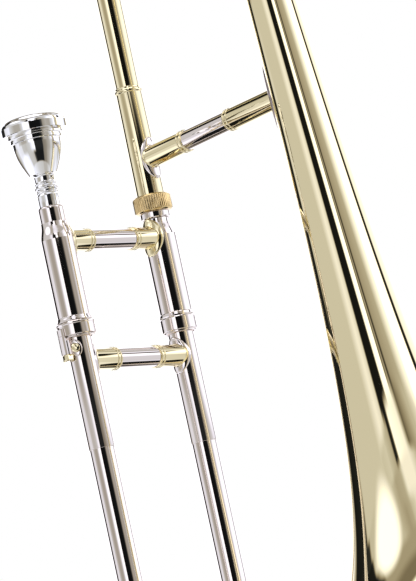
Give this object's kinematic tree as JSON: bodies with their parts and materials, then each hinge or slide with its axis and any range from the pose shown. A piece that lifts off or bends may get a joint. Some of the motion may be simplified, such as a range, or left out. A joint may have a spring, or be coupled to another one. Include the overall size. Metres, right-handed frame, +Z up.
{
  "type": "trombone",
  "caption": "Straight tenor trombone with a hand slide, end crook and water key, screw-on bell section, tuning slide, slide lock and cup mouthpiece.",
  "frame": {"origin": "centre of the inner slide brace, where a hand or a stand holds the instrument", "axes": "+Z runs up the slide from the end crook to the mouthpiece; +X from the mouthpiece tube to the bell tube; the bell lies towards -Y"},
  "size_m": [0.2062, 0.2755, 1.1307],
  "materials": {
    "nickel_silver": "polished nickel silver",
    "lacquered_brass": "polished and clear lacquered",
    "knurled_brass": "finely knurled",
    "silver_plate": "bright silver plate",
    "chromed_tube": "hard chrome on drawn tube",
    "steel": "bright wire and turned screws",
    "cork": "natural cork",
    "rubber": "moulded matt"
  },
  "bodies": {
    "inner_slide": {"inner_tube_upper": "chromed_tube", "inner_tube_lower": "chromed_tube", "stockings": "chromed_tube", "leadpipe": "lacquered_brass", "mouthpiece_receiver": "nickel_silver", "cork_barrel_upper": "nickel_silver", "cork_barrel_lower": "nickel_silver", "barrel_corks": "cork", "lock_ring_retainers": "nickel_silver", "barrel_collar_lower": "nickel_silver", "inner_brace_tube": "nickel_silver", "inner_brace_sockets": "lacquered_brass", "bell_receiver": "nickel_silver"},
    "outer_slide": {"outer_tube_upper": "nickel_silver", "outer_tube_lower": "nickel_silver", "outer_sleeve_upper": "nickel_silver", "outer_sleeve_lower": "nickel_silver", "outer_brace_tube": "nickel_silver", "outer_brace_sockets": "lacquered_brass", "outer_brace_flanges": "nickel_silver", "lock_knob": "lacquered_brass", "lock_post": "nickel_silver", "end_crook": "lacquered_brass", "crook_ferrules": "nickel_silver", "crook_bumper": "nickel_silver", "rubber_tip": "rubber", "water_key_nipple": "lacquered_brass", "water_key_bracket": "lacquered_brass", "water_key_pin": "steel", "water_key_spring": "steel"},
    "water_key": {"water_key_lever": "lacquered_brass", "water_key_cork": "cork"},
    "slide_lock": {"slide_lock_ring": "nickel_silver", "slide_lock_tip": "lacquered_brass"},
    "mouthpiece": {"mouthpiece": "silver_plate"},
    "bell_section": {"neck_tenon": "nickel_silver", "neck_sleeve": "lacquered_brass", "neckpipe": "lacquered_brass", "gooseneck": "lacquered_brass", "neck_brace_saddle": "nickel_silver", "bell_brace_sockets": "lacquered_brass", "bell_brace_tube": "nickel_silver", "bell_brace_flange": "nickel_silver", "bell": "lacquered_brass", "bell_stem": "lacquered_brass", "bell_rim_wire": "lacquered_brass", "upper_brace_tube": "nickel_silver", "upper_brace_flanges": "lacquered_brass", "tuning_receivers": "nickel_silver", "receiver_ferrules": "nickel_silver"},
    "tuning_slide": {"tuning_legs": "nickel_silver", "tuning_ferrules": "nickel_silver", "tuning_bow": "lacquered_brass", "tuning_brace": "nickel_silver", "counterweight": "lacquered_brass", "counterweight_screw": "steel"},
    "lock_nut": {"lock_nut": "knurled_brass"}
  },
  "joints": [
    {"name": "slide_travel", "type": "slide", "parent": "inner_slide", "child": "outer_slide", "axis": [0, 0, -1], "range_m": [0, 0.6]},
    {"name": "water_key_lift", "type": "hinge", "parent": "outer_slide", "child": "water_key", "pos_m": [0.05565, 0, -0.687], "axis": [0, -1, 0], "range_deg": [0, 18], "stiffness_Nm_per_rad": 0.1, "springref_deg": -28.65},
    {"name": "slide_lock_turn", "type": "hinge", "parent": "inner_slide", "child": "slide_lock", "pos_m": [-0.0425, 0, -0.052], "axis": [0, 0, 1], "range_deg": [-20, 36]},
    {"name": "mouthpiece_pull", "type": "slide", "parent": "inner_slide", "child": "mouthpiece", "axis": [0, 0, 1], "range_m": [0, 0.06]},
    {"name": "bell_swing", "type": "hinge", "parent": "inner_slide", "child": "bell_section", "pos_m": [0.0425, 0, 0.02], "axis": [0, 0, 1], "range_deg": [-35, 90]},
    {"name": "tuning_travel", "type": "slide", "parent": "bell_section", "child": "tuning_slide", "axis": [0, 0.0828, 0.9966], "range_m": [0, 0.065]},
    {"name": "lock_nut_turn", "type": "hinge", "parent": "bell_section", "child": "lock_nut", "pos_m": [0.0425, 0, 0.02], "axis": [0, 0, 1], "range_deg": [0, 720]}
  ]
}
